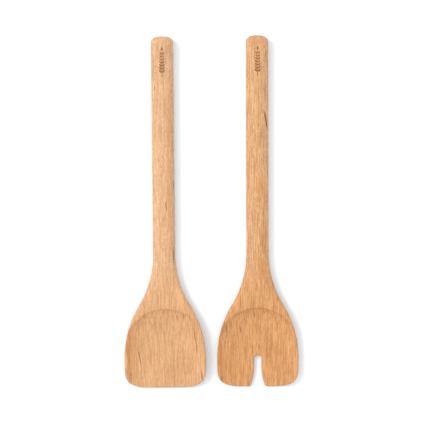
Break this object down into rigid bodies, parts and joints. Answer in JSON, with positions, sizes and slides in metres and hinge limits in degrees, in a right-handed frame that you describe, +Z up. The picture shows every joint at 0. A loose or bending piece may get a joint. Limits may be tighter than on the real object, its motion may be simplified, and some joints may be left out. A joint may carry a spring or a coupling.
{
  "type": "salad servers",
  "caption": "Solid wood salad servers lying side by side: a broad dished spoon and a matching fork with a flared slot in its tip, both on long straight handles.",
  "frame": {"origin": "on the table, under the middle of the pair's bounding box", "axes": "+Z up from the table, +Y towards the handles' ends, the spoon at -X and the fork at +X"},
  "size_m": [0.1486, 0.3008, 0.0115],
  "materials": {
    "spoon_beech": "fine sanded and oiled, satin",
    "fork_beech": "fine sanded and oiled, satin"
  },
  "bodies": {
    "spoon": {"spoon_server": "spoon_beech"},
    "fork": {"fork_server": "fork_beech"}
  },
  "joints": [
    {"name": "fork_lift", "type": "slide", "parent": "spoon", "child": "fork", "axis": [0, 0, 1], "range_m": [0, 0.1]}
  ]
}
